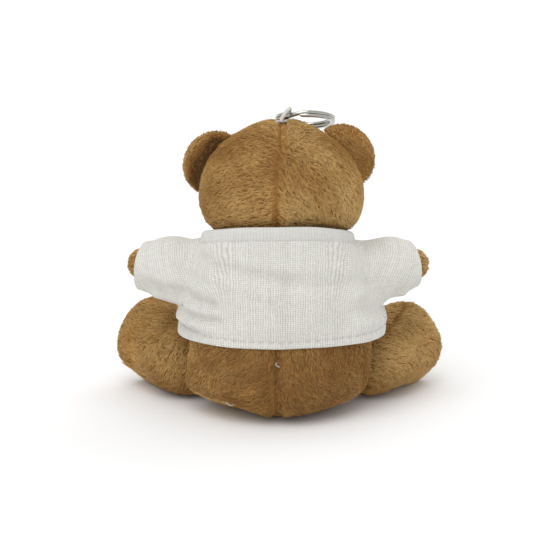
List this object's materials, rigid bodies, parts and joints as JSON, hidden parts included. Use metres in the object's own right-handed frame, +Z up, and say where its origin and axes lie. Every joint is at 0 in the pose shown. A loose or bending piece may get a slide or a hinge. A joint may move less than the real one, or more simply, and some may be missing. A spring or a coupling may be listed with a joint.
{
  "type": "plush bear keychain",
  "caption": "Small sitting plush bear in a knitted T-shirt, with a cord loop and a split ring at the crown for hanging on keys or a bag.",
  "frame": {"origin": "centre of the seat panel's flat face, on the surface that the bear sits on", "axes": "+Z up, -Y the way the bear faces, +X its left side"},
  "size_m": [0.1088, 0.0681, 0.1027],
  "materials": {
    "plush": "short pile, golden brown",
    "light_plush": "short pile, light brown",
    "stuffing": "polyester fibre fill",
    "jersey": "single jersey knit, off white",
    "rib_knit": "rib knit, off white",
    "nose_thread": "satin stitch, dark brown",
    "eye_plastic": "polished black",
    "washer_plastic": "moulded, natural white",
    "cord": "round braid, white",
    "ring_steel": "bright nickel plate"
  },
  "bodies": {
    "torso": {"torso_back_left": "plush", "torso_back_right": "plush", "torso_front": "plush", "seat_panel": "plush", "torso_stuffing": "stuffing", "shirt_back": "jersey", "shirt_front": "jersey", "shirt_collar": "rib_knit"},
    "head": {"head_back_left": "plush", "head_back_right": "plush", "head_face": "plush", "head_stuffing": "stuffing", "muzzle_cover": "light_plush", "muzzle_stuffing": "stuffing", "nose": "nose_thread", "mouth_stitch": "nose_thread", "eye_left": "eye_plastic", "eye_right": "eye_plastic", "eye_washer_left": "washer_plastic", "eye_washer_right": "washer_plastic", "ear_back_left": "plush", "ear_front_left": "light_plush", "ear_back_right": "plush", "ear_front_right": "light_plush", "cord_knot": "cord"},
    "arm_left": {"arm_back_left": "plush", "arm_front_left": "plush", "arm_stuffing_left": "stuffing", "sleeve_left": "jersey"},
    "arm_right": {"arm_back_right": "plush", "arm_front_right": "plush", "arm_stuffing_right": "stuffing", "sleeve_right": "jersey"},
    "leg_left": {"leg_inner_left": "plush", "leg_outer_left": "plush", "foot_sole_left": "light_plush", "leg_stuffing_left": "stuffing"},
    "leg_right": {"leg_inner_right": "plush", "leg_outer_right": "plush", "foot_sole_right": "light_plush", "leg_stuffing_right": "stuffing"},
    "cord": {"cord_loop": "cord"},
    "ring": {"split_ring": "ring_steel"}
  },
  "joints": [
    {"name": "head_turn", "type": "hinge", "parent": "torso", "child": "head", "pos_m": [0, 0, 0.0583], "axis": [0, 0, 1], "range_deg": [-15, 15], "stiffness_Nm_per_rad": 0.03},
    {"name": "arm_left_lift", "type": "hinge", "parent": "torso", "child": "arm_left", "pos_m": [0.0306, -0.001, 0.0482], "axis": [-0.342, -0.9397, 0], "range_deg": [-20, 20], "stiffness_Nm_per_rad": 0.02},
    {"name": "arm_right_lift", "type": "hinge", "parent": "torso", "child": "arm_right", "pos_m": [-0.0306, -0.001, 0.0482], "axis": [-0.342, 0.9397, 0], "range_deg": [-20, 20], "stiffness_Nm_per_rad": 0.02},
    {"name": "leg_left_spread", "type": "hinge", "parent": "torso", "child": "leg_left", "pos_m": [0.0334, -0.017, 0.0115], "axis": [0, 0, 1], "range_deg": [-12, 12], "stiffness_Nm_per_rad": 0.03},
    {"name": "leg_right_spread", "type": "hinge", "parent": "torso", "child": "leg_right", "pos_m": [-0.0334, -0.017, 0.0115], "axis": [0, 0, -1], "range_deg": [-12, 12], "stiffness_Nm_per_rad": 0.03},
    {"name": "cord_fold", "type": "hinge", "parent": "head", "child": "cord", "pos_m": [0.0006, 0.0022, 0.0985], "axis": [-1, 0, 0], "range_deg": [0, 135]},
    {"name": "ring_swing", "type": "hinge", "parent": "cord", "child": "ring", "pos_m": [-0.0033, -0.0021, 0.1001], "axis": [-0.8387, 0.4936, 0.2302], "range_deg": [0, 60]}
  ]
}
